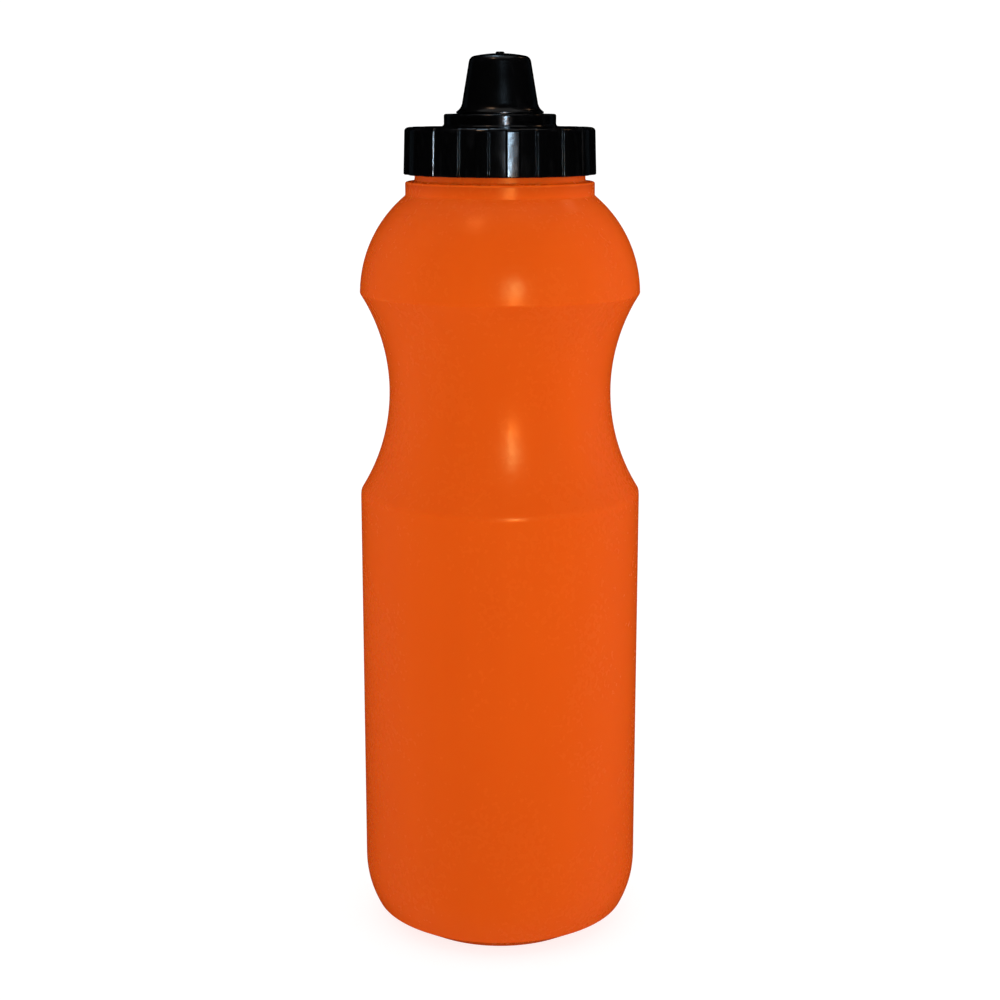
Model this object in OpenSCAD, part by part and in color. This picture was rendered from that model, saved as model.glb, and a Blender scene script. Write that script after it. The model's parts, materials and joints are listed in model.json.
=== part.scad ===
// Sports squeeze bottle with a ribbed screw cap and a push-pull drinking spout.
// Millimetres, +Z up. The origin is the centre of the base, on the surface the bottle stands on.
// The cap is screwed home and the spout is pushed down, so that the centre pin closes it.

/* [Bottle body] */
// Diameter of the lower barrel, the size that a bottle cage or cup holder takes
body_d = 74; // [70:0.5:76]
// Wall thickness of the blown body
body_wall = 1.1; // [0.8:0.1:1.4]
// Radius in side view of the curve that turns the barrel in towards the base
base_side_r = 26; // [25:0.5:28]
// Height at which that curve starts
base_side_z = 17.2; // [16:0.2:18]
// Slope of the heel between that curve and the stand ring
heel_slope = 30.4; // [26:0.2:34]
// Outer diameter of the flat ring that the bottle stands on
stand_ring_outer_d = 51.4; // [50:0.2:53]
// Inner diameter of that ring
stand_ring_inner_d = 42; // [36:0.5:46]
// Height of the dome pushed up inside that ring
push_up_h = 4; // [2:0.5:6]
// Smallest diameter of the finger waist
waist_d = 58.2; // [54:0.2:62]
// Height of the middle of the waist
waist_z = 146.2; // [144:0.2:148]
// Radius of the waist's hollow in side view
waist_arc_r = 49; // [46:0.5:52]
// Rounding where the barrel meets the waist
crease_r = 4; // [2:0.5:6]
// Radius of the shoulder's bulge in side view
shoulder_arc_r = 33; // [31:0.5:34]
// Distance of the shoulder arc's centre from the bottle's axis
shoulder_centre_r = 3.5; // [3:0.1:5]
// Height of the shoulder arc's centre
shoulder_centre_z = 171.4; // [170:0.2:172]

/* [Neck] */
// Outer diameter of the neck between the threads
neck_d = 44; // [43.6:0.1:44.2]
// Wall thickness of the neck
neck_wall = 1.4; // [1.2:0.1:1.6]
// Height of the neck's lip
lip_z = 211.2; // [210.8:0.1:211.3]
// Diameter of the ring at the foot of the neck
neck_ring_d = 48.8; // [48:0.1:49.4]
// Height of the underside of that ring
neck_ring_z = 196.6; // [196:0.1:197]
// Thickness of that ring along the axis
neck_ring_h = 3.9; // [3:0.1:4.5]

/* [Screw thread] */
// Rise of the thread in one turn
pitch = 4; // [3.8:0.1:4.2]
// Turns of thread on the neck and in the cap
thread_turns = 1.25; // [1:0.25:1.5]
// Height of the ridge over the neck, and into the cap's bore
thread_h = 0.85; // [0.6:0.05:0.9]
// Width of the ridge where it leaves the wall
thread_root_w = 1.6; // [1.4:0.1:1.7]
// Width of the ridge's flat crest
thread_crest_w = 0.8; // [0.5:0.1:0.9]

/* [Screw cap] */
// Height of the skirt's lower edge
cap_z = 202.3; // [202:0.1:202.5]
// Height of the cap from the lower edge to the deck's top
cap_h = 11.9; // [11.5:0.1:12.5]
// Diameter between the grip ribs at the lower edge
cap_foot_d = 48.8; // [48.4:0.1:49.5]
// Diameter between the grip ribs at the top
cap_top_d = 48.1; // [47.8:0.1:48.8]
// Diameter of the bore that the thread stands in
cap_bore_d = 46.3; // [46.2:0.1:46.4]
// Thickness of the cap's deck
deck_t = 1.8; // [1.6:0.1:2]
// Rounding of the cap's upper edge
cap_edge_r = 0.7; // [0.3:0.1:1]
// Number of grip ribs
rib_count = 20; // [12:1:24]
// Width of one rib as an angle
rib_angle = 7.7; // [5:0.1:9]
// Turn of the first rib from the X axis
rib_phase = 3.8; // [0:0.1:17]
// How far a rib stands out
rib_h = 0.45; // [0.3:0.05:0.6]

/* [Spout base] */
// Diameter of the collar that stands through the deck
collar_d = 28.8; // [28:0.1:29]
// Height of the collar over the deck
collar_h = 3.3; // [3:0.1:3.5]
// Wall thickness of the collar and its top
collar_wall = 1.4; // [1.2:0.1:1.6]
// Diameter of the flange under the deck
flange_d = 36; // [34:0.5:36.5]
// Outer diameter of the hollow post
post_d = 12; // [11.8:0.1:12]
// Diameter of the post's head, which stops the spout from coming off
head_d = 13.6; // [13.4:0.1:13.7]
// Diameter of the post's passage
passage_d = 8.8; // [8:0.1:9]
// Height of the post's top
post_top_z = 229; // [228.8:0.1:229.2]
// Height of the head's underside
head_z = 224.6; // [224.6:0.1:224.8]
// Diameter of the pin that closes the outlet
pin_d = 3.2; // [3:0.1:3.4]

/* [Pull spout] */
// Diameter of the spout's flared foot
foot_d = 22.4; // [21.5:0.1:23]
// Diameter of the cone where it leaves the flare
cone_foot_d = 19.4; // [19:0.1:19.8]
// Diameter of the cone where the upper rounding starts
cone_top_d = 15.9; // [15.6:0.1:16]
// Height of the spout's crown
crown_z = 232.6; // [232.4:0.1:232.8]
// Diameter of the bore that slides on the post's head
spout_bore_d = 14; // [13.9:0.1:14]
// Travel from shut to open
spout_travel = 5; // [4:0.5:5]

/* [Hidden] */
$fn = 96;

eps = 0.01;
far = 300;

// Bottle
body_r = body_d / 2;
neck_r = neck_d / 2;
ring_wall = 1.5;
heel_foot_r = stand_ring_outer_d / 2;
stand_ring_r = stand_ring_inner_d / 2;
waist_centre_r = waist_d / 2 + waist_arc_r;
// The crease's circle touches the barrel's wall and the waist's arc.
crease_centre_r = body_r - crease_r;
crease_drop = sqrt(pow(waist_arc_r + crease_r, 2) - pow(waist_centre_r - crease_centre_r, 2));
crease_z = waist_z - crease_drop;
crease_end_z = crease_z + crease_r * crease_drop / (waist_arc_r + crease_r);
// The base's dome passes through the stand ring's inner edge and the push-up's height.
dome_r = (pow(stand_ring_r, 2) + pow(push_up_h, 2)) / (2 * push_up_h);
neck_ring_chamfer = 0.5;
lip_chamfer = 0.3;

// Thread. Both threads are right-handed, so a turn towards +Z lifts the cap by one pitch.
thread_steps = 48;
thread_sink = 0.35;
thread_bury = 0.1;
thread_run_out = 0.08;
neck_thread_z = 204.6;
neck_thread_phase = 0;
cap_thread_z = 203.7;
cap_thread_phase = neck_thread_phase + 360 * (cap_thread_z - neck_thread_z + pitch / 2) / pitch;

// Cap
cap_top_z = cap_z + cap_h;
deck_under_z = cap_top_z - deck_t;
cap_bore_r = cap_bore_d / 2;
cap_mouth_chamfer = 0.5;
rib_top_gap = 0.35;
rib_top_chamfer = 0.5;
gasket_gap = 0.25;
gasket_w = 3.4;
gasket_rib_w = 0.8;
gasket_outer_r = cap_bore_r - gasket_gap;
gasket_inner_r = gasket_outer_r - gasket_w;

// Spout base
collar_r = collar_d / 2;
collar_top_z = cap_top_z + collar_h;
collar_edge_r = 0.5;
deck_hole_gap = 0.05;
seal_t = 0.8;
seal_inner_gap = 0.2;
seal_outer_gap = 0.4;
flange_t = 1;
flange_top_z = deck_under_z - seal_t;
snap_h = 0.5;
snap_out = 0.35;
post_r = post_d / 2;
head_r = head_d / 2;
head_chamfer = 0.4;
passage_r = passage_d / 2;
oring_section_r = 0.68;
oring_side_gap = 0.12;
groove_z = 226.8;
spout_bore_r = spout_bore_d / 2;
slide_gap = 0.04;
oring_centre_r = spout_bore_r - slide_gap - oring_section_r;
groove_r = oring_centre_r - oring_section_r - eps;
pin_r = pin_d / 2;
pin_z = 223;
pin_tip_z = crown_z + 0.4;
pin_tip_r = 1;
pin_tip_round = 0.4;
pin_tip_h = 1.3;
spoke_count = 3;
spoke_w = 1.4;
spoke_h = 3;
spoke_bury = 0.4;

// Spout
foot_gap = 0.1;
foot_z = collar_top_z + foot_gap;
foot_r = foot_d / 2;
foot_edge_h = 0.35;
cone_foot_z = 220.2;
cone_top_z = 230.5;
cone_foot_r = cone_foot_d / 2;
cone_top_r = cone_top_d / 2;
cone_slope = (cone_foot_r - cone_top_r) / (cone_top_z - cone_foot_z);
cone_tilt = atan(cone_slope);
flare_r = 3;
flare_centre_r = cone_foot_r + flare_r * cos(cone_tilt);
flare_centre_z = cone_foot_z + flare_r * sin(cone_tilt);
crown_edge_r = 1.8;
edge_centre_r = cone_top_r - crown_edge_r * cos(cone_tilt);
edge_centre_z = cone_top_z - crown_edge_r * sin(cone_tilt);
// The crown's large arc is centred on the axis and touches the edge's circle from outside.
crown_drop = crown_z - crown_edge_r - edge_centre_z;
crown_arc_r = crown_edge_r + (pow(edge_centre_r, 2) + pow(crown_drop, 2)) / (2 * crown_drop);
crown_end_r = edge_centre_r * crown_arc_r / (crown_arc_r - crown_edge_r);
chamber_top_z = 230;
chamber_corner = 1.4;
retainer_r = post_r + 0.2;
retainer_top_z = head_z - spout_travel - 0.2;
retainer_chamfer = 0.3;
outlet_r = pin_r + 0.05;
outlet_chamfer = 0.5;

// ---- Shared shapes ----

// One quadrilateral ridge wound along a right-hand helix about Z. Its base lies in the wall,
// and its crest grows out of the wall at each end.
module helical_ridge(wall_r, inward, start_z, phase) {
  side = inward ? -1 : 1;
  base_r = wall_r - side * thread_sink;
  steps = round(thread_steps * thread_turns);
  grow = round(steps * thread_run_out);
  rings = [
    for (i = [0:steps])
      let(
        share = min(1, i / grow, (steps - i) / grow),
        crest_r = wall_r + side * (share * (thread_h + thread_bury) - thread_bury),
        angle = phase + 360 * i / thread_steps,
        z = start_z + pitch * i / thread_steps
      )
      [
        for (corner = [
          [base_r, z - thread_root_w / 2],
          [crest_r, z - thread_crest_w / 2],
          [crest_r, z + thread_crest_w / 2],
          [base_r, z + thread_root_w / 2]
        ])
        [corner[0] * cos(angle), corner[0] * sin(angle), corner[1]]
      ]
  ];
  points = [for (ring = rings) each ring];
  walls = [
    for (i = [0:steps - 1])
      for (k = [0:3])
        let(a = 4 * i + k, b = 4 * i + (k + 1) % 4)
          each [[a, b + 4, b], [a, a + 4, b + 4]]
  ];
  last = 4 * steps;
  ends = [[0, 1, 2], [0, 2, 3], [last, last + 2, last + 1], [last, last + 3, last + 2]];
  faces = concat(walls, ends);
  polyhedron(
    points = points,
    faces = [for (face = faces) inward ? face : [face[2], face[1], face[0]]],
    convexity = 6
  );
}

// A flat ring about Z, from its inner and outer radius.
module flat_ring(inner_r, outer_r, bottom_z, thickness) {
  translate([0, 0, bottom_z])
    difference() {
      cylinder(r = outer_r, h = thickness);
      translate([0, 0, -1]) cylinder(r = inner_r, h = thickness + 2);
    }
}

// ---- Bottle ----

// Half of the body's outline below the neck, moved inwards by inset.
module body_outline(inset) {
  // Base and barrel
  difference() {
    union() {
      intersection() {
        union() {
          translate([body_r - base_side_r, base_side_z]) circle(r = base_side_r - inset, $fn = 360);
          square([body_r - base_side_r, base_side_z]);
        }
        polygon([
          [0, inset],
          [heel_foot_r - inset * tan(heel_slope / 2), inset],
          [body_r, (body_r - heel_foot_r) * tan(heel_slope) + inset / cos(heel_slope)],
          [body_r, base_side_z + eps],
          [0, base_side_z + eps]
        ]);
      }
      translate([0, base_side_z]) square([body_r - inset, crease_z - base_side_z]);
    }
    translate([0, push_up_h - dome_r]) circle(r = dome_r + inset, $fn = 360);
  }
  // Rounded crease between barrel and waist
  translate([crease_centre_r, crease_z]) circle(r = crease_r - inset);
  translate([0, crease_z - eps]) square([crease_centre_r, crease_end_z - crease_z + 2 * eps]);
  // Waist
  difference() {
    translate([0, crease_end_z])
      square([body_r, shoulder_centre_z - crease_end_z + crease_r]);
    translate([waist_centre_r, waist_z]) circle(r = waist_arc_r + inset, $fn = 360);
    translate([0, shoulder_centre_z]) square([body_r + eps, crease_r + eps]);
  }
  // Shoulder, which the waist cuts into in a sharp crease
  difference() {
    intersection() {
      translate([shoulder_centre_r, shoulder_centre_z])
        circle(r = shoulder_arc_r - inset, $fn = 360);
      translate([0, shoulder_centre_z - eps]) square([body_r, neck_ring_z - shoulder_centre_z + 2 * eps]);
    }
    translate([waist_centre_r, waist_z]) circle(r = waist_arc_r + inset, $fn = 360);
  }
}

// Half of the neck's outline, from the shoulder to the lip.
module neck_outline() {
  ring_r = neck_ring_d / 2;
  ring_top_z = neck_ring_z + neck_ring_h;
  polygon([
    [0, neck_ring_z],
    [ring_r, neck_ring_z],
    [ring_r, ring_top_z - neck_ring_chamfer],
    [ring_r - neck_ring_chamfer, ring_top_z],
    [neck_r, ring_top_z],
    [neck_r, lip_z - lip_chamfer],
    [neck_r - lip_chamfer, lip_z],
    [0, lip_z]
  ]);
}

// Half of the hollow in the neck. It follows the ring at the neck's foot.
module neck_hollow_outline() {
  bore_r = neck_r - neck_wall;
  ring_r = neck_ring_d / 2 - ring_wall;
  ring_top_z = neck_ring_z + neck_ring_h - ring_wall;
  polygon([
    [0, neck_ring_z - body_wall - 1],
    [ring_r, neck_ring_z - body_wall - 1],
    [ring_r, ring_top_z],
    [bore_r, ring_top_z + (ring_r - bore_r) / 2],
    [bore_r, lip_z + 1],
    [0, lip_z + 1]
  ]);
}

module bottle() {
  color("#E2540F") {
    rotate_extrude($fn = 180)
      difference() {
        union() {
          body_outline(0);
          neck_outline();
        }
        body_outline(body_wall);
        neck_hollow_outline();
      }
    helical_ridge(neck_r, false, neck_thread_z, neck_thread_phase);
  }
}

// ---- Cap ----

// The soft ring that the lip is pressed into. It lies under the deck.
module cap_gasket() {
  color("#2A2A2C")
    flat_ring(gasket_inner_r, gasket_outer_r, lip_z, deck_under_z - lip_z);
}

// Half of the cap's section between the ribs.
module cap_section() {
  foot_r = cap_foot_d / 2;
  top_r = cap_top_d / 2;
  difference() {
    union() {
      polygon([
        [0, cap_z],
        [foot_r, cap_z],
        [top_r, cap_top_z - cap_edge_r],
        [top_r - cap_edge_r, cap_top_z],
        [0, cap_top_z]
      ]);
      translate([top_r - cap_edge_r, cap_top_z - cap_edge_r]) circle(r = cap_edge_r);
    }
    translate([0, cap_z - 1]) square([cap_bore_r, deck_under_z - cap_z + 1]);
    polygon([
      [0, cap_z - 1],
      [cap_bore_r + cap_mouth_chamfer + 1, cap_z - 1],
      [cap_bore_r, cap_z + cap_mouth_chamfer]
    ]);
    square([collar_r + deck_hole_gap, far]);
  }
}

// One grip rib, which tapers with the skirt.
module grip_rib() {
  foot_r = cap_foot_d / 2 + rib_h;
  top_r = cap_top_d / 2 + rib_h;
  top_z = cap_top_z - rib_top_gap;
  rotate_extrude(angle = rib_angle)
    polygon([
      [cap_foot_d / 2 - rib_h, cap_z],
      [foot_r, cap_z],
      [top_r, top_z - rib_top_chamfer],
      [top_r - rib_top_chamfer, top_z],
      [cap_top_d / 2 - rib_h, top_z]
    ]);
}

module screw_cap() {
  color("#0B0B0D") {
    rotate_extrude($fn = 180) cap_section();
    for (i = [0:rib_count - 1])
      rotate([0, 0, rib_phase + i * 360 / rib_count]) grip_rib();
    // Rib that keeps the gasket in its place
    flat_ring(
      gasket_inner_r - gasket_gap - gasket_rib_w,
      gasket_inner_r - gasket_gap,
      lip_z,
      deck_under_z - lip_z + eps
    );
    helical_ridge(cap_bore_r, true, cap_thread_z, cap_thread_phase);
  }
}

// The flat seal between the spout base's flange and the deck.
module base_seal() {
  color("#2A2A2C")
    flat_ring(collar_r + seal_inner_gap, flange_d / 2 - seal_outer_gap, flange_top_z, seal_t);
}

// Half of the spout base's section: flange, collar, post and head.
module base_section() {
  difference() {
    union() {
      // Flange and collar
      translate([0, flange_top_z - flange_t]) square([flange_d / 2, flange_t]);
      translate([0, flange_top_z - flange_t])
        square([collar_r, collar_top_z - collar_edge_r - flange_top_z + flange_t]);
      square([collar_r - collar_edge_r, collar_top_z]);
      translate([collar_r - collar_edge_r, collar_top_z - collar_edge_r]) circle(r = collar_edge_r);
      // Bead that snaps over the deck's upper face
      polygon([
        [collar_r - eps, cap_top_z + deck_hole_gap],
        [collar_r + snap_out, cap_top_z + deck_hole_gap],
        [collar_r + snap_out, cap_top_z + snap_h / 2],
        [collar_r - eps, cap_top_z + snap_h]
      ]);
      // Post and its head
      square([post_r, head_z + eps]);
      polygon([
        [0, head_z],
        [head_r, head_z],
        [head_r, post_top_z - head_chamfer],
        [head_r - head_chamfer, post_top_z],
        [0, post_top_z]
      ]);
    }
    square([far, flange_top_z - flange_t]);
    square([collar_r - collar_wall, collar_top_z - collar_wall]);
    square([passage_r, far]);
    translate([groove_r, groove_z - oring_section_r - oring_side_gap])
      square([head_r, 2 * (oring_section_r + oring_side_gap)]);
  }
}

// The pin that plugs the outlet, with a rounded tip, and the spokes that hold it in the passage.
module pin_and_spokes() {
  rotate_extrude() {
    polygon([
      [0, pin_z],
      [pin_r, pin_z],
      [pin_r, pin_tip_z - pin_tip_h],
      [pin_tip_r, pin_tip_z - pin_tip_round],
      [pin_tip_r - pin_tip_round, pin_tip_z],
      [0, pin_tip_z]
    ]);
    translate([pin_tip_r - pin_tip_round, pin_tip_z - pin_tip_round]) circle(r = pin_tip_round);
  }
  for (i = [0:spoke_count - 1])
    rotate([0, 0, 90 + i * 360 / spoke_count])
      translate([0, -spoke_w / 2, pin_z])
        cube([passage_r + spoke_bury, spoke_w, spoke_h]);
}

module spout_base() {
  color("#101012") {
    rotate_extrude($fn = 180) base_section();
    pin_and_spokes();
  }
}

// The seal between the post's head and the spout's bore.
module post_oring() {
  color("#2A2A2C")
    translate([0, 0, groove_z])
      rotate_extrude($fn = 120)
        translate([oring_centre_r, 0]) circle(r = oring_section_r, $fn = 48);
}

// ---- Pull spout ----

// Half of the spout's outer shape: flared foot, cone and crown.
module spout_outline() {
  // Flared foot, hollowed by an arc that runs into the cone
  difference() {
    translate([0, foot_z]) square([foot_r, cone_foot_z - foot_z]);
    translate([flare_centre_r, flare_centre_z]) circle(r = flare_r);
  }
  // Cone
  polygon([
    [0, foot_z],
    [cone_foot_r + cone_slope * (cone_foot_z - foot_z), foot_z],
    [cone_top_r, cone_top_z],
    [edge_centre_r, edge_centre_z],
    [0, edge_centre_z]
  ]);
  translate([edge_centre_r, edge_centre_z]) circle(r = crown_edge_r);
  // Crown
  intersection() {
    translate([0, crown_z - crown_arc_r]) circle(r = crown_arc_r, $fn = 360);
    polygon([
      [0, edge_centre_z - eps],
      [edge_centre_r, edge_centre_z - eps],
      [crown_end_r, crown_z],
      [0, crown_z]
    ]);
  }
}

// Half of the spout's hollow: retainer, bore, chamber and outlet.
module spout_hollow_outline() {
  polygon([
    [0, foot_z - 1],
    [retainer_r + retainer_chamfer + 1, foot_z - 1],
    [retainer_r, foot_z + retainer_chamfer],
    [retainer_r, retainer_top_z],
    [spout_bore_r, retainer_top_z],
    [spout_bore_r, chamber_top_z - chamber_corner],
    [spout_bore_r - chamber_corner, chamber_top_z],
    [outlet_r, chamber_top_z],
    [outlet_r, crown_z - outlet_chamfer],
    [outlet_r + outlet_chamfer + 1, crown_z + 1],
    [0, crown_z + 1]
  ]);
}

module pull_spout() {
  color("#0E0E10")
    rotate_extrude($fn = 180)
      difference() {
        spout_outline();
        spout_hollow_outline();
      }
}

bottle();
cap_gasket();
screw_cap();
base_seal();
spout_base();
post_oring();
pull_spout();
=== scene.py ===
"""Sports squeeze bottle: the looks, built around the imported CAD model."""

import json
import math

import bmesh
import bpy
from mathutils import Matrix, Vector


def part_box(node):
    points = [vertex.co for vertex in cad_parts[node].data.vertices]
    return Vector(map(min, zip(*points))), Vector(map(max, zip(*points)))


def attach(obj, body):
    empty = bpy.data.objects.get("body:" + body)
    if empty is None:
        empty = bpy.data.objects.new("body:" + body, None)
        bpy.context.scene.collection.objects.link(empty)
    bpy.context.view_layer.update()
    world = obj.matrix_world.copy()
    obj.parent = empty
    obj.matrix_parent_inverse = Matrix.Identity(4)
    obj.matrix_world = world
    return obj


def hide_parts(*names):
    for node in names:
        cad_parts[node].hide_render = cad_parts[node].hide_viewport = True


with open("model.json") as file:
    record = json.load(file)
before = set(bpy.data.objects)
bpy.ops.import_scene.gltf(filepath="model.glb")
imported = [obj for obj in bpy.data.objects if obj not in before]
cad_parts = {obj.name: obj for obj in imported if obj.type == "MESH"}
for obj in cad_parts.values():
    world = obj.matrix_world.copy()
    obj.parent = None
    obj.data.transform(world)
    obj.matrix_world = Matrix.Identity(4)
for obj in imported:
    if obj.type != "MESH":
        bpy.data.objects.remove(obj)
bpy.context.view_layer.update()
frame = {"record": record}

# ---- Sizes, in millimetres like the CAD's; positions come from the frame ----

MM = 0.001


def node_box(node):
    """Lowest and highest corner of a CAD node, in millimetres."""
    return [[value / MM for value in corner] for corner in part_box(node)]


BARREL = next(m for m in frame["record"]["mounts"] if m["name"] == "cage_grip")
BARREL_R = BARREL["dims"]["r_mm"]
BARREL_FOOT_Z = BARREL["pos_m"][2] / MM - BARREL["dims"]["length_mm"] / 2
BARREL_TOP_Z = BARREL["pos_m"][2] / MM + BARREL["dims"]["length_mm"] / 2
LIP_Z = node_box("bottle")[1][2]
CAP_Z = node_box("screw_cap")[0][2]
DECK_Z = node_box("screw_cap")[1][2]
GASKET_Z = node_box("cap_gasket")[0][2]
DECK_UNDER_Z = node_box("cap_gasket")[1][2]
FLANGE_Z = node_box("spout_base")[0][2]
PIN_TIP_Z = node_box("spout_base")[1][2]
SPOUT_Z, CROWN_Z = (corner[2] for corner in node_box("pull_spout"))

WALL = 1.1
BASE_SIDE_R = 26
STAND_RING_OUT_R, STAND_RING_IN_R = 25.7, 21
HEEL_SLOPE = 30.4
PUSH_UP = 4
WAIST_R, WAIST_Z, WAIST_ARC_R = 29.1, 146.2, 49
CREASE_R = 4
SHOULDER_R, SHOULDER_Z, SHOULDER_ARC_R = 3.5, 171.4, 33
RING_R, RING_Z, RING_H, RING_WALL = 24.4, 196.6, 3.9, 1.5
NECK_R, NECK_WALL = 22, 1.4

PITCH, THREAD_TURNS, THREAD_H = 4, 1.25, 0.85
THREAD_ROOT_W, THREAD_CREST_W, THREAD_RUN_OUT = 1.6, 0.8, 0.08
NECK_THREAD_Z = 204.6
CAP_THREAD_Z = 203.7
CAP_THREAD_PHASE = 360 * (CAP_THREAD_Z - NECK_THREAD_Z + PITCH / 2) / PITCH

CAP_FOOT_R, CAP_TOP_R, CAP_BORE_R = 24.4, 24.05, 23.15
CAP_RIM_W, CAP_RIM_HOLD = 1.8, 0.2
# The ribs' tops lie this much under the deck. The slope is kept to the cap's rim.
RIB_DROP = 0.1
RIBS, RIB_ANGLE, RIB_PHASE, RIB_H = 20, 7.7, 3.8, 0.45
RIB_FLANK, RIB_FLANK_ROUND = 0.9, 0.15
DECK_HOLE_R = 14.45
GASKET_IN_R, GASKET_OUT_R = 19.5, 22.9

COLLAR_R, COLLAR_H, COLLAR_WALL = 14.4, 3.3, 1.4
FLANGE_R, FLANGE_T = 18, 1
POST_R, HEAD_R, PASSAGE_R = 6, 6.8, 4.4
HEAD_Z, POST_TOP_Z = 224.6, 229
ORING_R, ORING_Z, ORING_GAP = 0.68, 226.8, 0.04
PIN_R, PIN_Z, PIN_TIP_R = 1.6, 223, 1
SPOKES, SPOKE_W, SPOKE_H = 3, 1.4, 3

FOOT_R = 11.2
CONE_FOOT_R, CONE_FOOT_Z, CONE_TOP_R, CONE_TOP_Z = 9.7, 220.2, 7.95, 230.5
FLARE_R = 3
CROWN_EDGE_R = 1.8
SPOUT_BORE_R, OUTLET_R = 7, 1.65
RETAINER_R, RETAINER_TOP_Z = 6.2, 219.4
CHAMBER_TOP_Z, CHAMBER_CORNER = 230, 1.4

# How finely the meshes are divided: height of a row on the neck, and number of rows in the cap's bore.
NECK_ROW = 0.22
CAP_BORE_ROWS = 40
# Faces that meet at this angle or more, in degrees, meet in a sharp edge.
EDGE_ANGLE = 42


# ---- Outlines: lists of (radius, height) ----


def arc(centre, radius, start, end, step=3.0):
    """Points on an arc, with angles in degrees from the outward direction towards +Z."""
    count = max(2, math.ceil(abs(end - start) / step))
    angles = [math.radians(start + (end - start) * i / count) for i in range(count + 1)]
    return [(centre[0] + radius * math.cos(a), centre[1] + radius * math.sin(a)) for a in angles]


def fillet(before, corner, after, radius, steps=5):
    """The corner as an arc that touches both of its sides, with a holding point on each side.

    The arc takes at most a little under half of the shorter side, so that it leaves room for the next one.
    """
    corner_v = Vector(corner)
    to_before, to_after = Vector(before) - corner_v, Vector(after) - corner_v
    room = 0.48 * min(to_before.length, to_after.length)
    to_before.normalize()
    to_after.normalize()
    half = to_before.angle(to_after) / 2
    reach = min(radius / math.tan(half), room)
    radius = reach * math.tan(half)
    centre = corner_v + (to_before + to_after).normalized() * (radius / math.sin(half))
    start = corner_v + to_before * reach - centre
    end = corner_v + to_after * reach - centre
    turn = start.angle_signed(end)
    hold = min(0.3 * radius, 0.04 * room + 0.05)
    points = [corner_v + to_before * (reach + hold)]
    for i in range(steps + 1):
        a = -turn * i / steps
        c, s = math.cos(a), math.sin(a)
        points.append(centre + Vector((start.x * c - start.y * s, start.x * s + start.y * c)))
    points.append(corner_v + to_after * (reach + hold))
    return [tuple(p) for p in points]


def outline(stops, closed=False):
    """Joins stops into one outline.

    A stop is (r, z), (r, z, fillet radius) or a list of points, such as an arc.
    """
    flat = []
    for stop in stops:
        flat += [(p[0], p[1], 0) for p in stop] if isinstance(stop, list) else [(*stop, 0)[:3]]
    points = []
    for i, (r, z, radius) in enumerate(flat):
        if radius and (closed or 0 < i < len(flat) - 1):
            points += fillet(flat[i - 1][:2], (r, z), flat[(i + 1) % len(flat)][:2], radius)
        else:
            points.append((r, z))
    return points


def rows(points, step, low, high):
    """Splits the parts of an outline that lie between two heights into pieces no longer than step."""
    out = []
    for a, b in zip(points, points[1:], strict=False):
        out.append(a)
        if min(a[1], b[1]) >= low and max(a[1], b[1]) <= high:
            count = math.ceil(math.dist(a, b) / step)
            for i in range(1, count):
                out.append((a[0] + (b[0] - a[0]) * i / count, a[1] + (b[1] - a[1]) * i / count))
    out.append(points[-1])
    return out


def crossing(c1, r1, c2, r2):
    """The upper crossing of two circles."""
    a, b = Vector(c1), Vector(c2)
    d = (b - a).length
    along = (r1**2 - r2**2 + d**2) / (2 * d)
    across = math.sqrt(r1**2 - along**2)
    u = (b - a) / d
    found = [a + u * along + Vector((-u.y, u.x)) * side * across for side in (1, -1)]
    return max(found, key=lambda p: p.y)


def bearing(centre, point):
    """Angle of a point seen from a centre, in degrees from the outward direction towards +Z."""
    return math.degrees(math.atan2(point[1] - centre[1], point[0] - centre[0]))


# ---- Meshes ----


def even_angles(count):
    """Angles once round, in degrees."""
    return [360 * i / count for i in range(count)]


def turned(name, section, angles, parts=()):
    """A piece turned about Z.

    section(angle) gives the outline at that angle, always with the same number of points. It is either a
    closed loop or starts and ends on the axis. parts are (vertices, faces) of more solids in the piece,
    in millimetres.
    """
    mesh = bpy.data.meshes.new(name)
    bm = bmesh.new()
    edge = bm.verts.layers.float.new("edge")
    first = section(angles[0])
    on_axis = abs(first[0][0]) < 1e-6
    poles = {}
    rings = []
    for angle in angles:
        points = section(angle)
        c, s = math.cos(math.radians(angle)), math.sin(math.radians(angle))
        ring = []
        for i, (r, z) in enumerate(points):
            if on_axis and i in (0, len(points) - 1):
                if i not in poles:
                    poles[i] = bm.verts.new((0, 0, z * MM))
                ring.append(poles[i])
                continue
            vert = bm.verts.new((r * c * MM, r * s * MM, z * MM))
            vert[edge] = sharpness(points, i)
            ring.append(vert)
        rings.append(ring)
    count = len(first)
    for ring, after in zip(rings, rings[1:] + rings[:1], strict=True):
        for i in range(count - 1 if on_axis else count):
            j = (i + 1) % count
            corners = list(dict.fromkeys([ring[i], ring[j], after[j], after[i]]))
            bm.faces.new(corners)
    for verts, faces in parts:
        made = [bm.verts.new([value * MM for value in v]) for v in verts]
        for face in faces:
            bm.faces.new([made[i] for i in face])
    bmesh.ops.recalc_face_normals(bm, faces=bm.faces)
    for face in bm.faces:
        face.smooth = True
    for e in bm.edges:
        e.smooth = e.calc_face_angle(0) < math.radians(EDGE_ANGLE)
    bm.to_mesh(mesh)
    bm.free()
    obj = bpy.data.objects.new(name, mesh)
    bpy.context.scene.collection.objects.link(obj)
    return obj


def sharpness(points, i):
    """How tightly the outline bends at a point: 0 on a flat stretch, 1 at a radius of 0.5 mm or less."""
    a, b, c = (Vector(points[k % len(points)]) for k in (i - 1, i, i + 1))
    if (b - a).length < 1e-6 or (c - b).length < 1e-6:
        return 0.0
    bend = (b - a).angle(c - b) / (0.5 * ((b - a).length + (c - b).length))
    return min(1.0, bend * 0.5)


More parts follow.
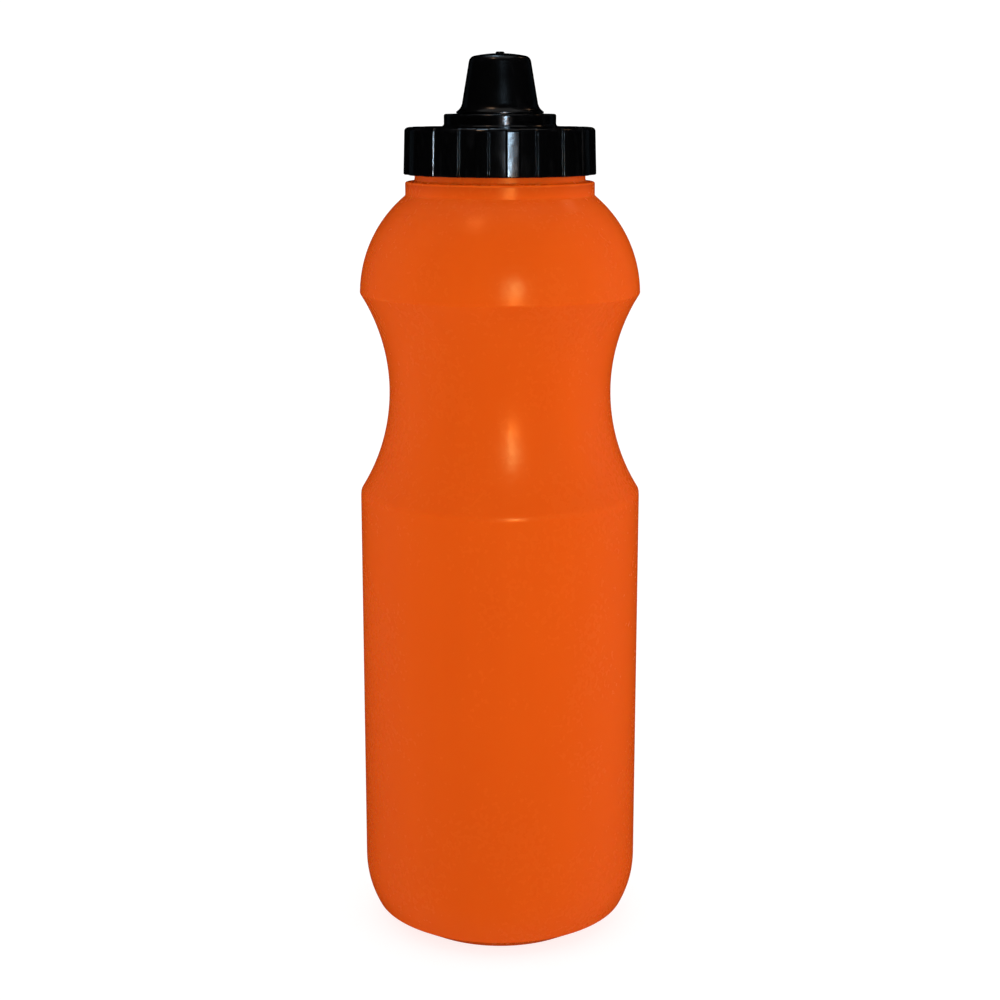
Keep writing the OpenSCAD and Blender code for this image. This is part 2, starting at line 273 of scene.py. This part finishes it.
def ridge(angle, z, start_z, phase, turns):
    """Height of a thread's ridge at a place on a wall, from 0 to 1. It runs out gently at both ends."""
    tallest = 0.0
    for turn in range(-1, 3):
        along = (angle - phase) / 360 + turn
        if not 0 <= along <= turns:
            continue
        off = abs(z - start_z - PITCH * along)
        flank = (THREAD_ROOT_W / 2 - off) / ((THREAD_ROOT_W - THREAD_CREST_W) / 2)
        ends = min(along, turns - along) / (THREAD_RUN_OUT * turns)
        smooth = max(0.0, min(1.0, flank))
        tallest = max(tallest, smooth * smooth * (3 - 2 * smooth) * max(0.0, min(1.0, ends)))
    return tallest


# ---- Bottle ----

WAIST_CENTRE = (WAIST_R + WAIST_ARC_R, WAIST_Z)
CREASE_CENTRE = (BARREL_R - CREASE_R, BARREL_TOP_Z)
SHOULDER_CENTRE = (SHOULDER_R, SHOULDER_Z)
DOME_R = (STAND_RING_IN_R**2 + PUSH_UP**2) / (2 * PUSH_UP)
DOME_CENTRE = (0, PUSH_UP - DOME_R)
SIDE_CENTRE = (BARREL_R - BASE_SIDE_R, BARREL_FOOT_Z)
SEAM_H, SEAM_HALF_W = 0.07, 0.3


def body_stops(inset, ring_stops, dome_step):
    """Stops of the body's outline, from the middle of the base to the neck ring, moved inwards by inset."""
    crease_turn = bearing(CREASE_CENTRE, WAIST_CENTRE)
    waist_r, shoulder_r = WAIST_ARC_R + inset, SHOULDER_ARC_R - inset
    top_crease = crossing(WAIST_CENTRE, waist_r, SHOULDER_CENTRE, shoulder_r)
    dome_r = DOME_R + inset
    dome_end = math.degrees(math.asin((inset - DOME_CENTRE[1]) / dome_r))
    shoulder_end = math.degrees(math.acos((ring_stops[0][0] - SHOULDER_R) / shoulder_r))
    slope = math.radians(HEEL_SLOPE)
    heel_foot_r = STAND_RING_OUT_R - inset * math.tan(slope / 2)
    # The heel's line is this far below the side curve's centre, square to the line.
    reach = (SIDE_CENTRE[0] - heel_foot_r) * -math.sin(slope) + (SIDE_CENTRE[1] - inset) * math.cos(slope)
    heel_turn = HEEL_SLOPE - 90 + math.degrees(math.acos(reach / (BASE_SIDE_R - inset)))
    heel = arc(SIDE_CENTRE, BASE_SIDE_R - inset, heel_turn, 0, 3)
    waist_arc = arc(WAIST_CENTRE, waist_r, 180 + crease_turn, bearing(WAIST_CENTRE, top_crease), 1.6)
    shoulder_arc = arc(SHOULDER_CENTRE, shoulder_r, bearing(SHOULDER_CENTRE, top_crease), shoulder_end, 2.0)
    return [
        arc(DOME_CENTRE, dome_r, 90, dome_end, dome_step)[:-1],
        (dome_r * math.cos(math.radians(dome_end)), inset, 1.5),
        (heel_foot_r, inset, 1.5),
        (*heel[0], 1.2),
        heel[1:],
        arc(CREASE_CENTRE, CREASE_R - inset, 0, crease_turn, 5),
        waist_arc[1:-2],
        (*top_crease, 0.9),
        shoulder_arc[2:],
        *ring_stops,
    ]


def bottle_outline():
    """The shell's whole outline: up the outside, over the lip and down the inside."""
    ring_top = RING_Z + RING_H
    hollow_r = RING_R - RING_WALL
    bore_r = NECK_R - NECK_WALL
    outside = outline(
        body_stops(
            0,
            [
                (RING_R + 0.3, RING_Z + 0.1, 0.3),
                (RING_R, RING_Z + 0.4, 0.3),
                (RING_R, ring_top, 0.6),
                (NECK_R, ring_top, 0.5),
                (NECK_R, LIP_Z, 0.35),
                (bore_r + 0.6, LIP_Z, 0),
            ],
            3,
        )
    )
    inside = outline(
        body_stops(
            WALL,
            [
                (hollow_r, ring_top - RING_WALL, 0.8),
                (bore_r, ring_top - RING_WALL + (hollow_r - bore_r) / 2, 0.8),
                (bore_r, LIP_Z, 0.35),
                (bore_r + 0.6, LIP_Z, 0),
            ],
            6,
        )
    )
    return rows(outside, NECK_ROW, ring_top + 0.5, LIP_Z - 0.4) + inside[-2::-1]


def bottle_section():
    """The outline at an angle: the thread winds round the neck, and a parting seam runs up each side."""
    points = bottle_outline()
    lip = max(range(len(points)), key=lambda i: points[i][1])

    def seam(angle, r):
        """Height of the seam: a low ridge of triangular section."""
        off = min(abs((angle + 90) % 180 - 90) * math.pi / 180 * r, 1)
        return SEAM_H * max(0.0, 1 - off / SEAM_HALF_W)

    def section(angle):
        out = []
        for i, (r, z) in enumerate(points):
            outer = i < lip and r > STAND_RING_IN_R
            if outer and z > RING_Z + RING_H + 0.6:
                r += THREAD_H * ridge(angle, z, NECK_THREAD_Z, 0, THREAD_TURNS) if r > NECK_R - 0.1 else 0
            elif outer and z > 1:
                r += seam(angle, r)
            out.append((r, z))
        return out

    return section


def seam_angles(count):
    """Even angles, with more of them beside the two seams."""
    extra = [side + off for side in (0, 180) for off in (-0.5, -0.25, 0.25, 0.5)]
    return sorted({a % 360 for a in even_angles(count) + extra})


# ---- Cap ----


def soft_step(x, width, corner):
    """Rises from 0 to 1 in a straight slope of that width round x = 0, with rounded corners."""

    def ramp(t):
        return 0 if t < -corner else (t + corner) ** 2 / (4 * corner) if t < corner else t

    return (ramp(x + width / 2) - ramp(x - width / 2)) / width


def rib_share(angle):
    """1 on a grip rib, 0 between two, with a short flank on each side."""
    off = (angle - RIB_PHASE - RIB_ANGLE / 2 + 180 / RIBS) % (360 / RIBS) - 180 / RIBS
    return soft_step(RIB_ANGLE / 2 - abs(off), RIB_FLANK, RIB_FLANK_ROUND)


def rib_angles():
    """Angles that follow each rib's flanks closely, and its face and the valley more widely."""
    half, pitch = RIB_ANGLE / 2, 360 / RIBS
    corner = [RIB_FLANK / 2 + RIB_FLANK_ROUND * k for k in (-1, -0.4, 0.2, 0.7, 1, 2)]
    flank = [-off for off in reversed(corner)] + [0] + corner
    steps = [-half + off for off in flank] + [0] + [half + off for off in flank]
    valley = pitch - 2 * (half + flank[-1])
    steps += [half + flank[-1] + valley * i / 4 for i in range(1, 4)]
    return [RIB_PHASE + half + pitch * k + step for k in range(RIBS) for step in steps]


def cap_outline(rib):
    """The cap's section, between two ribs (0) or through one (1), with even rows in its bore."""
    foot_r, top_r = CAP_FOOT_R + rib * RIB_H, CAP_TOP_R + rib * RIB_H
    keep_r = GASKET_IN_R - 0.25
    stops = [
        (CAP_BORE_R + 0.5, CAP_Z, 0.15),
        (foot_r, CAP_Z, 0.3),
        (top_r, DECK_Z - rib * RIB_DROP, 0.75 + 0.2 * rib),
        (CAP_TOP_R - CAP_RIM_W, DECK_Z),
        (CAP_TOP_R - CAP_RIM_W - CAP_RIM_HOLD, DECK_Z),
        (DECK_HOLE_R, DECK_Z, 0.12),
        (DECK_HOLE_R, DECK_UNDER_Z, 0.12),
        (keep_r - 0.8, DECK_UNDER_Z, 0.15),
        (keep_r - 0.8, GASKET_Z, 0.15),
        (keep_r, GASKET_Z, 0.15),
        (keep_r, DECK_UNDER_Z, 0.15),
        (CAP_BORE_R, DECK_UNDER_Z, 0.4),
        (CAP_BORE_R, CAP_Z + 0.5, 0.15),
    ]
    points = outline(stops, closed=True)
    in_bore = [i for i in range(len(points) - 1) if p_in_bore(points[i]) and p_in_bore(points[i + 1])]
    wall = max(in_bore, key=lambda i: points[i][1] - points[i + 1][1])
    top, foot = points[wall][1], points[wall + 1][1]
    heights = [top + (foot - top) * i / CAP_BORE_ROWS for i in range(1, CAP_BORE_ROWS)]
    return points[: wall + 1] + [(CAP_BORE_R, z) for z in heights] + points[wall + 1 :]


def p_in_bore(point):
    """Is the point on the straight wall of the cap's bore?"""
    return abs(point[0] - CAP_BORE_R) < 0.01


def cap_section():
    """The cap's outline at an angle: it goes over to the ribs' outline and back, and carries the thread."""
    valley, rib = cap_outline(0), cap_outline(1)

    def section(angle):
        share = rib_share(angle)
        out = []
        for (r0, z0), (r1, z1) in zip(valley, rib, strict=True):
            r, z = r0 + (r1 - r0) * share, z0 + (z1 - z0) * share
            if p_in_bore((r, z)):
                r -= THREAD_H * ridge(angle, z, CAP_THREAD_Z, CAP_THREAD_PHASE, THREAD_TURNS)
            out.append((r, z))
        return out

    return section


# ---- Spout base and spout ----


def base_outline():
    """The spout base's section: flange, collar, and the post with its head and O-ring groove."""
    collar_top = DECK_Z + COLLAR_H
    flange_top = FLANGE_Z + FLANGE_T
    bead = COLLAR_R + 0.35
    inner_r = COLLAR_R - COLLAR_WALL
    groove_r = SPOUT_BORE_R - 0.05 - 2 * ORING_R
    groove_half = ORING_R + 0.12
    return outline(
        [
            (inner_r, FLANGE_Z, 0.2),
            (FLANGE_R, FLANGE_Z, 0.25),
            (FLANGE_R, flange_top, 0.25),
            (COLLAR_R, flange_top, 0.2),
            (COLLAR_R, DECK_Z + 0.05, 0.05),
            (bead, DECK_Z + 0.05, 0.08),
            (bead, DECK_Z + 0.28, 0.12),
            (COLLAR_R, DECK_Z + 0.6, 0.2),
            (COLLAR_R, collar_top, 0.5),
            (POST_R, collar_top, 0.25),
            (POST_R, HEAD_Z, 0.15),
            (HEAD_R, HEAD_Z, 0.15),
            (HEAD_R, ORING_Z - groove_half, 0.1),
            (groove_r, ORING_Z - groove_half, 0.1),
            (groove_r, ORING_Z + groove_half, 0.1),
            (HEAD_R, ORING_Z + groove_half, 0.1),
            (HEAD_R, POST_TOP_Z, 0.4),
            (PASSAGE_R, POST_TOP_Z, 0.3),
            (PASSAGE_R, collar_top - COLLAR_WALL, 0.5),
            (inner_r, collar_top - COLLAR_WALL, 0.8),
        ],
        closed=True,
    )


def ring_part(points, count):
    """(vertices, faces) of a small turned piece whose outline starts and ends on the axis."""
    inner = points[1:-1]
    verts = [(0, 0, points[0][1]), (0, 0, points[-1][1])]
    for k in range(count):
        a = 2 * math.pi * k / count
        verts += [(r * math.cos(a), r * math.sin(a), z) for r, z in inner]
    n = len(inner)
    faces = []
    for k in range(count):
        a, b = 2 + k * n, 2 + (k + 1) % count * n
        faces += [(a + i, a + i + 1, b + i + 1, b + i) for i in range(n - 1)]
        faces += [(0, a, b), (1, b + n - 1, a + n - 1)]
    return verts, faces


def pin_part():
    """(vertices, faces) of the centre pin, with its tapered tip."""
    points = outline(
        [
            (0, PIN_Z),
            (PIN_R, PIN_Z, 0.3),
            (PIN_R, PIN_TIP_Z - 1.3, 0.3),
            (PIN_TIP_R, PIN_TIP_Z, 0.4),
            (0, PIN_TIP_Z),
        ]
    )
    return ring_part(points, 40)


def spoke_part(angle):
    """(vertices, faces) of one spoke, which is thinner towards the stream."""
    c, s = math.cos(math.radians(angle)), math.sin(math.radians(angle))
    root, reach, half, thin = 0.5, PASSAGE_R + 0.4, SPOKE_W / 2, SPOKE_W / 5
    top_z = PIN_Z + SPOKE_H
    levels = [(PIN_Z, thin), (PIN_Z + 0.5, half), (top_z - 0.3, half), (top_z, half - 0.3)]
    verts = []
    for z, w in levels:
        corners = ((root, -w), (reach, -w), (reach, w), (root, w))
        verts += [(x * c - y * s, x * s + y * c, z) for x, y in corners]
    faces = [(3, 2, 1, 0), (12, 13, 14, 15)]
    for k in range(len(levels) - 1):
        a = 4 * k
        faces += [(a + i, a + (i + 1) % 4, a + 4 + (i + 1) % 4, a + 4 + i) for i in range(4)]
    return verts, faces


def spout_outline():
    """The spout's section: flared foot, cone, domed crown with the outlet, chamber and retaining lip."""
    slope = (CONE_FOOT_R - CONE_TOP_R) / (CONE_TOP_Z - CONE_FOOT_Z)
    tilt = math.degrees(math.atan(slope))
    out_r, out_z = math.cos(math.radians(tilt)), math.sin(math.radians(tilt))
    flare = (CONE_FOOT_R + FLARE_R * out_r, CONE_FOOT_Z + FLARE_R * out_z)
    edge = (CONE_TOP_R - CROWN_EDGE_R * out_r, CONE_TOP_Z - CROWN_EDGE_R * out_z)
    drop = CROWN_Z + 0.06 - CROWN_EDGE_R - edge[1]
    crown_r = CROWN_EDGE_R + (edge[0] ** 2 + drop**2) / (2 * drop)
    crown_centre = (0, CROWN_Z + 0.06 - crown_r)
    crown_turn = bearing(crown_centre, edge)
    mouth_r = OUTLET_R + 0.5
    mouth_turn = math.degrees(math.acos(mouth_r / crown_r))
    flare_end = -math.degrees(math.acos((FOOT_R - flare[0]) / FLARE_R))
    return outline(
        [
            (RETAINER_R + 0.3, SPOUT_Z, 0.1),
            (FOOT_R, SPOUT_Z, 0.15),
            (FOOT_R, flare[1] + FLARE_R * math.sin(math.radians(flare_end)), 0.15),
            arc(flare, FLARE_R, flare_end - 3, -180 + tilt, 5),
            arc(edge, CROWN_EDGE_R, tilt, crown_turn, 7),
            arc(crown_centre, crown_r, crown_turn, mouth_turn, 1.5)[1:-1],
            (mouth_r, crown_centre[1] + crown_r * math.sin(math.radians(mouth_turn)), 0.15),
            (OUTLET_R, CROWN_Z - 0.5, 0.15),
            (OUTLET_R, CHAMBER_TOP_Z, 0.15),
            (SPOUT_BORE_R - CHAMBER_CORNER, CHAMBER_TOP_Z, 0.5),
            (SPOUT_BORE_R, CHAMBER_TOP_Z - CHAMBER_CORNER, 0.5),
            (SPOUT_BORE_R, RETAINER_TOP_Z, 0.15),
            (RETAINER_R, RETAINER_TOP_Z, 0.15),
            (RETAINER_R, SPOUT_Z + 0.3, 0.15),
        ],
        closed=True,
    )


def flat_ring(inner_r, outer_r, low, high, rounding):
    """Section of a flat ring with rounded edges."""
    corners = ((inner_r, low), (outer_r, low), (outer_r, high), (inner_r, high))
    return outline([(r, z, rounding) for r, z in corners], closed=True)


# ---- Materials ----


class Shader:
    """A material's node tree, with short calls for the nodes used here."""

    def __init__(self, name):
        self.material = bpy.data.materials.new(name)
        self.material.use_nodes = True
        self.tree = self.material.node_tree
        self.surface = self.tree.nodes["Principled BSDF"]
        self.coords = self.tree.nodes.new("ShaderNodeTexCoord").outputs["Object"]

    def link(self, value, socket):
        """Links a socket to another, or sets it to a number or a colour."""
        if isinstance(value, bpy.types.NodeSocket):
            self.tree.links.new(value, socket)
        else:
            socket.default_value = value

    def noise(self, scale, detail=2.0, stretch=(1, 1, 1)):
        """Noise with features of about 1 / scale metres, from 0 to 1."""
        mapping = self.tree.nodes.new("ShaderNodeMapping")
        mapping.inputs["Scale"].default_value = stretch
        self.tree.links.new(self.coords, mapping.inputs["Vector"])
        node = self.tree.nodes.new("ShaderNodeTexNoise")
        self.tree.links.new(mapping.outputs[0], node.inputs["Vector"])
        node.inputs["Scale"].default_value = scale
        node.inputs["Detail"].default_value = detail
        return node.outputs["Fac"]

    def height(self):
        """Height above the base, in metres."""
        split = self.tree.nodes.new("ShaderNodeSeparateXYZ")
        self.tree.links.new(self.coords, split.inputs[0])
        return split.outputs["Z"]

    def attribute(self, name):
        """A number stored on the mesh's points."""
        node = self.tree.nodes.new("ShaderNodeAttribute")
        node.attribute_name = name
        return node.outputs["Fac"]

    def remap(self, value, low, high, to_low, to_high, smooth=False):
        """Takes low..high to to_low..to_high, and stops at both ends."""
        node = self.tree.nodes.new("ShaderNodeMapRange")
        node.interpolation_type = "SMOOTHSTEP" if smooth else "LINEAR"
        self.link(value, node.inputs["Value"])
        for socket, number in zip(node.inputs[1:5], (low, high, to_low, to_high), strict=True):
            socket.default_value = number
        return node.outputs["Result"]

    def math(self, operation, a, b=0.0):
        node = self.tree.nodes.new("ShaderNodeMath")
        node.operation = operation
        self.link(a, node.inputs[0])
        self.link(b, node.inputs[1])
        return node.outputs[0]

    def mix(self, factor, a, b):
        """Colour a where factor is 0, b where it is 1."""
        node = self.tree.nodes.new("ShaderNodeMix")
        node.data_type = "RGBA"
        self.link(factor, node.inputs["Factor"])
        self.link(a, node.inputs["A"])
        self.link(b, node.inputs["B"])
        return node.outputs["Result"]

    def bump(self, height, distance, before=None):
        """A normal from a height of 0 to 1 and its size in metres, on top of another bump if given."""
        node = self.tree.nodes.new("ShaderNodeBump")
        node.inputs["Strength"].default_value = 1.0
        node.inputs["Distance"].default_value = distance
        self.link(height, node.inputs["Height"])
        if before is not None:
            self.tree.links.new(before, node.inputs["Normal"])
        return node.outputs["Normal"]

    def finish(self, **inputs):
        """Sets the surface's sockets. Words of a name are joined by _."""
        for name, value in inputs.items():
            self.link(value, self.surface.inputs[name.replace("_", " ")])
        return self.material


def squeeze_plastic():
    """Translucent orange polyethylene: a satin skin, fine grain, slow changes of tone, light scuffs, with
    painted shade towards the base, a painted shadow of the cap on the neck ring and a painted glow on the
    neck.
    """
    dark_tone, light_tone = (0.71, 0.080, 0.0037, 1), (0.767, 0.090, 0.0041, 1)
    # The deeper tone and the height where it fades out are painted shade towards the base.
    painted_shade_tone, painted_shade_top = (0.62, 0.068, 0.0034, 1), 0.12
    # The ring tone is a painted shadow of the cap on the neck ring; the gap tone is a painted glow on the
    # neck above it.
    painted_cap_shadow_tone, painted_glow_tone = (0.50, 0.053, 0.003, 1), (0.97, 0.115, 0.006, 1)
    worn_tone = (0.76, 0.115, 0.009, 1)
    ring_low, ring_high, gap_high = (z * MM for z in (RING_Z + 1, RING_Z + RING_H, CAP_Z))
    blend = 0.0006

    s = Shader("orange_squeeze_plastic")
    patches = s.noise(28, 3, (1, 1, 0.45))
    streaks = s.noise(120, 2, (1, 1, 0.06))
    tone = s.math("ADD", s.math("MULTIPLY", patches, 0.7), s.math("MULTIPLY", streaks, 0.3))
    colour = s.mix(s.remap(tone, 0.3, 0.7, 0, 1), dark_tone, light_tone)
    # Painted shade: the colour is darker towards the base.
    colour = s.mix(s.remap(s.height(), 0.0, painted_shade_top, 0.5, 0.0, smooth=True), colour, painted_shade_tone)
    # Painted shadow of the cap: the neck ring darkens towards its top.
    colour = s.mix(s.remap(s.height(), ring_low, ring_high, 0.0, 1.0), colour, painted_cap_shadow_tone)
    # Painted glow: the bit of neck between the ring and the cap is made brightest, a painted stand-in for
    # light shining through the plastic.
    above_ring = s.remap(s.height(), ring_high - blend, ring_high, 0.0, 1.0)
    below_cap = s.remap(s.height(), gap_high, gap_high + blend, 1.0, 0.0)
    colour = s.mix(s.math("MINIMUM", above_ring, below_cap), colour, painted_glow_tone)
    worn = s.math("MULTIPLY", s.attribute("edge"), s.remap(s.noise(300, 3), 0.5, 0.62, 0, 0.55))
    colour = s.mix(worn, colour, worn_tone)

    smudge = s.remap(s.noise(45, 4), 0.35, 0.7, -0.02, 0.04)
    rough = s.math("ADD", s.remap(s.noise(700, 2), 0.3, 0.7, 0.22, 0.28), smudge)
    grain = s.bump(s.noise(1500, 2), 0.000012)
    flow_share = s.remap(s.height(), SHOULDER_Z * MM, RING_Z * MM, 0.25, 1.0)
    flow_rings = s.bump(s.math("MULTIPLY", s.noise(600, 2, (0.04, 0.04, 1)), flow_share), 0.00008, grain)
    peel = s.bump(s.noise(170, 2), 0.00010, flow_rings)
    return s.finish(
        Base_Color=colour,
        Roughness=rough,
        IOR=1.51,
        Specular_IOR_Level=0.25,
        Specular_Tint=(1.0, 0.48, 0.115, 1),
        Subsurface_Weight=0.2,
        Subsurface_Radius=(1.0, 0.35, 0.1),
        Subsurface_Scale=0.004,
        Normal=peel,
    )


def gloss_plastic(name, shine, base=(0.0009, 0.0009, 0.0011, 1), level=0.36):
    """Black polypropylene: orange peel, flow lines, hairline scuffs, and edges rubbed a little lighter."""
    rubbed_tone = (0.008, 0.0084, 0.0095, 1)
    s = Shader(name)
    scuffs = s.remap(s.noise(500, 4, (1, 1, 0.35)), 0.56, 0.72, 0, 0.6)
    rubbed = s.math("MULTIPLY", s.attribute("edge"), s.remap(s.noise(420, 3), 0.42, 0.66, 0, 0.5))
    wear = s.math("MAXIMUM", s.math("MULTIPLY", scuffs, 0.35), rubbed)
    colour = s.mix(wear, base, rubbed_tone)
    uneven = s.remap(s.noise(160, 3), 0.3, 0.7, shine - 0.03, shine + 0.04)
    rough = s.math("ADD", uneven, s.math("MULTIPLY", wear, 0.16))
    flow = s.bump(s.noise(260, 2, (1, 1, 0.3)), 0.00003)
    peel = s.bump(s.noise(1000, 2), 0.000016, flow)
    return s.finish(Base_Color=colour, Roughness=rough, IOR=1.49, Specular_IOR_Level=level, Normal=peel)


def seal_rubber():
    """Matt silicone with a powdery bloom."""
    clean_tone, bloom_tone = (0.020, 0.020, 0.021, 1), (0.045, 0.045, 0.047, 1)
    s = Shader("black_seal_rubber")
    bloom = s.remap(s.noise(240, 4), 0.4, 0.7, 0, 1)
    colour = s.mix(bloom, clean_tone, bloom_tone)
    rough = s.remap(s.noise(600, 2), 0.3, 0.7, 0.55, 0.72)
    return s.finish(Base_Color=colour, Roughness=rough, IOR=1.41, Normal=s.bump(s.noise(1600, 2), 0.00001))


def paper():
    """The pale floor and backdrop. Most of its white is its own glow, so the bottle tints it little."""
    dark_tone, light_tone = (0.26, 0.26, 0.26, 1), (0.28, 0.28, 0.28, 1)
    s = Shader("studio_paper")
    colour = s.mix(s.remap(s.noise(6, 3), 0.3, 0.7, 0, 1), dark_tone, light_tone)
    return s.finish(
        Base_Color=colour,
        Roughness=0.9,
        Emission_Color=(1, 1, 1, 1),
        Emission_Strength=0.80,
        Normal=s.bump(s.noise(900, 2), 0.00002),
    )


def dress(obj, material, body, node):
    """Gives a piece its material and its body, and hides the CAD node that it stands for."""
    obj.data.materials.append(material)
    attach(obj, body)
    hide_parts(node)


# ---- The pieces ----

ORANGE = squeeze_plastic()
BLACK = gloss_plastic("black_cap_plastic", 0.12)
BLACK_SPOUT = gloss_plastic("black_spout_plastic", 0.2)
RUBBER = seal_rubber()

ROUND, SMALL_ROUND = even_angles(144), even_angles(96)


def round_piece(name, section, angles, parts=()):
    """A piece whose outline is the same at every angle."""
    return turned(name, lambda angle: section, angles, parts)


def make_bottle():
    obj = turned("bottle_shell", bottle_section(), seam_angles(180))
    dress(obj, ORANGE, "bottle", "bottle")


def make_gasket():
    section = flat_ring(GASKET_IN_R, GASKET_OUT_R, GASKET_Z, DECK_UNDER_Z, 0.2)
    dress(round_piece("gasket_ring", section, ROUND), RUBBER, "gasket", "cap_gasket")


def make_cap():
    dress(turned("ribbed_cap", cap_section(), rib_angles()), BLACK, "cap", "screw_cap")


def make_base_seal():
    section = flat_ring(COLLAR_R + 0.2, FLANGE_R - 0.4, FLANGE_Z + FLANGE_T, DECK_UNDER_Z, 0.2)
    dress(round_piece("base_seal_ring", section, ROUND), RUBBER, "cap", "base_seal")


def make_spout_base():
    parts = [pin_part()] + [spoke_part(90 + 360 * k / SPOKES) for k in range(SPOKES)]
    obj = round_piece("collar_and_post", base_outline(), ROUND, parts)
    dress(obj, BLACK, "cap", "spout_base")


def make_oring():
    section = arc((SPOUT_BORE_R - ORING_GAP - ORING_R, ORING_Z), ORING_R, 0, 345, 15)
    dress(round_piece("oring", section, SMALL_ROUND), RUBBER, "cap", "post_oring")


def make_spout():
    obj = round_piece("drinking_spout", spout_outline(), ROUND)
    dress(obj, BLACK_SPOUT, "spout", "pull_spout")


make_bottle()
make_gasket()
make_cap()
make_base_seal()
make_spout_base()
make_oring()
make_spout()


# ---- Studio, in metres ----

LIGHT_AIM_Z = 0.17


def sweep():
    """A pale floor that curves up into a backdrop behind the bottle."""
    half, front, back, bend, top = 3.0, -2.5, 1.6, 0.8, 3.0
    side = [(front, 0.0)]
    for degrees in range(0, 91, 6):
        a = math.radians(degrees)
        side.append((back + bend * math.sin(a), bend - bend * math.cos(a)))
    side.append((back + bend, top))
    verts = [(x, y, z) for y, z in side for x in (-half, half)]
    faces = [(2 * i, 2 * i + 1, 2 * i + 3, 2 * i + 2) for i in range(len(side) - 1)]
    mesh = bpy.data.meshes.new("sweep")
    mesh.from_pydata(verts, [], faces)
    for face in mesh.polygons:
        face.use_smooth = True
    mesh.materials.append(paper())
    obj = bpy.data.objects.new("sweep", mesh)
    bpy.context.scene.collection.objects.link(obj)
    obj.visible_glossy = False


def area_light(name, place, size, power, colour=(1, 1, 1), diffuse=True, glossy=True):
    """A soft box that faces the upper middle of the bottle."""
    data = bpy.data.lights.new(name, "AREA")
    data.shape = "RECTANGLE"
    data.size, data.size_y = size
    data.energy = power
    data.color = colour
    obj = bpy.data.objects.new(name, data)
    obj.location = place
    aim = Vector((0, 0, LIGHT_AIM_Z)) - Vector(place)
    obj.rotation_euler = aim.to_track_quat("-Z", "Y").to_euler()
    obj.visible_diffuse = diffuse
    obj.visible_glossy = glossy
    bpy.context.scene.collection.objects.link(obj)


def highlight(name, place, size, power, colour=(1, 1, 1)):
    """A light that is only seen mirrored in the surfaces."""
    area_light(name, place, size, power, colour, diffuse=False)


def wash(name, place, power):
    """A large light that brightens one side and isn't mirrored."""
    area_light(name, place, (0.8, 0.8), power, glossy=False)


def studio():
    """Even white light all round, with soft strips for the highlights."""
    cool, warm = (0.55, 0.78, 1.0), (1.0, 0.6, 0.35)
    world = bpy.data.worlds.new("studio")
    world.use_nodes = True
    background = world.node_tree.nodes["Background"]
    background.inputs["Color"].default_value = (1, 1, 1, 1)
    background.inputs["Strength"].default_value = 0.98
    world.cycles_visibility.glossy = False
    bpy.context.scene.world = world
    bpy.context.scene.view_settings.view_transform = "Standard"
    sweep()
    # The key light stands in front, a little to the right. Each of its strips is mirrored at its own height.
    highlight("key_high", (0.10, -0.49, 0.275), (0.06, 0.08), 0.9, cool)
    highlight("key_low", (0.10, -0.49, 0.172), (0.07, 0.024), 0.5, warm)
    highlight("cap_strip", (0.102, -0.49, 0.224), (0.028, 0.024), 0.036, cool)
    highlight("collar_strip", (0.086, -0.49, 0.208), (0.02, 0.008), 0.16, cool)
    highlight("spout_strip", (0.06, -0.49, 0.40), (0.10, 0.10), 0.0024, cool)
    # Dim strips behind draw the outline, small lamps above make the spots on the shoulder.
    highlight("left_rim", (-0.75, 0.65, 0.35), (0.25, 0.8), 0.02, cool)
    highlight("right_rim", (0.75, 0.65, 0.35), (0.25, 0.8), 0.02, cool)
    highlight("left_lamp", (-0.27, -0.28, 1.1), (0.1, 0.1), 0.8, warm)
    highlight("right_lamp", (0.55, 0.45, 0.95), (0.1, 0.1), 0.12, warm)
    # These two give the black cap its shape from above and behind.
    highlight("top_box", (0, 0.1, 1.6), (1.2, 1.2), 2.0)
    highlight("back_strip", (-0.1, 0.6, 1.3), (0.15, 0.4), 1.5, cool)
    wash("left_side", (-1.2, 0.1, 0.3), 1.2)
    wash("right_side", (1.2, 0.1, 0.3), 2.2)
    wash("fill", (1.2, -0.9, 0.5), 2.4)


def camera():
    """The viewing angle: a little above the cap's height, looking down at the middle of the bottle."""
    data = bpy.data.cameras.new("camera")
    data.lens, data.sensor_width = 66.6, 36
    pitch, distance = math.radians(12.3), 0.4947
    aim_drop = 0.0001
    middle_z = PIN_TIP_Z / 2 * MM - aim_drop
    obj = bpy.data.objects.new("camera", data)
    obj.location = (0, -distance * math.cos(pitch), middle_z + distance * math.sin(pitch))
    obj.rotation_euler = (math.pi / 2 - pitch, 0, 0)
    bpy.context.scene.collection.objects.link(obj)
    bpy.context.scene.camera = obj


studio()
camera()
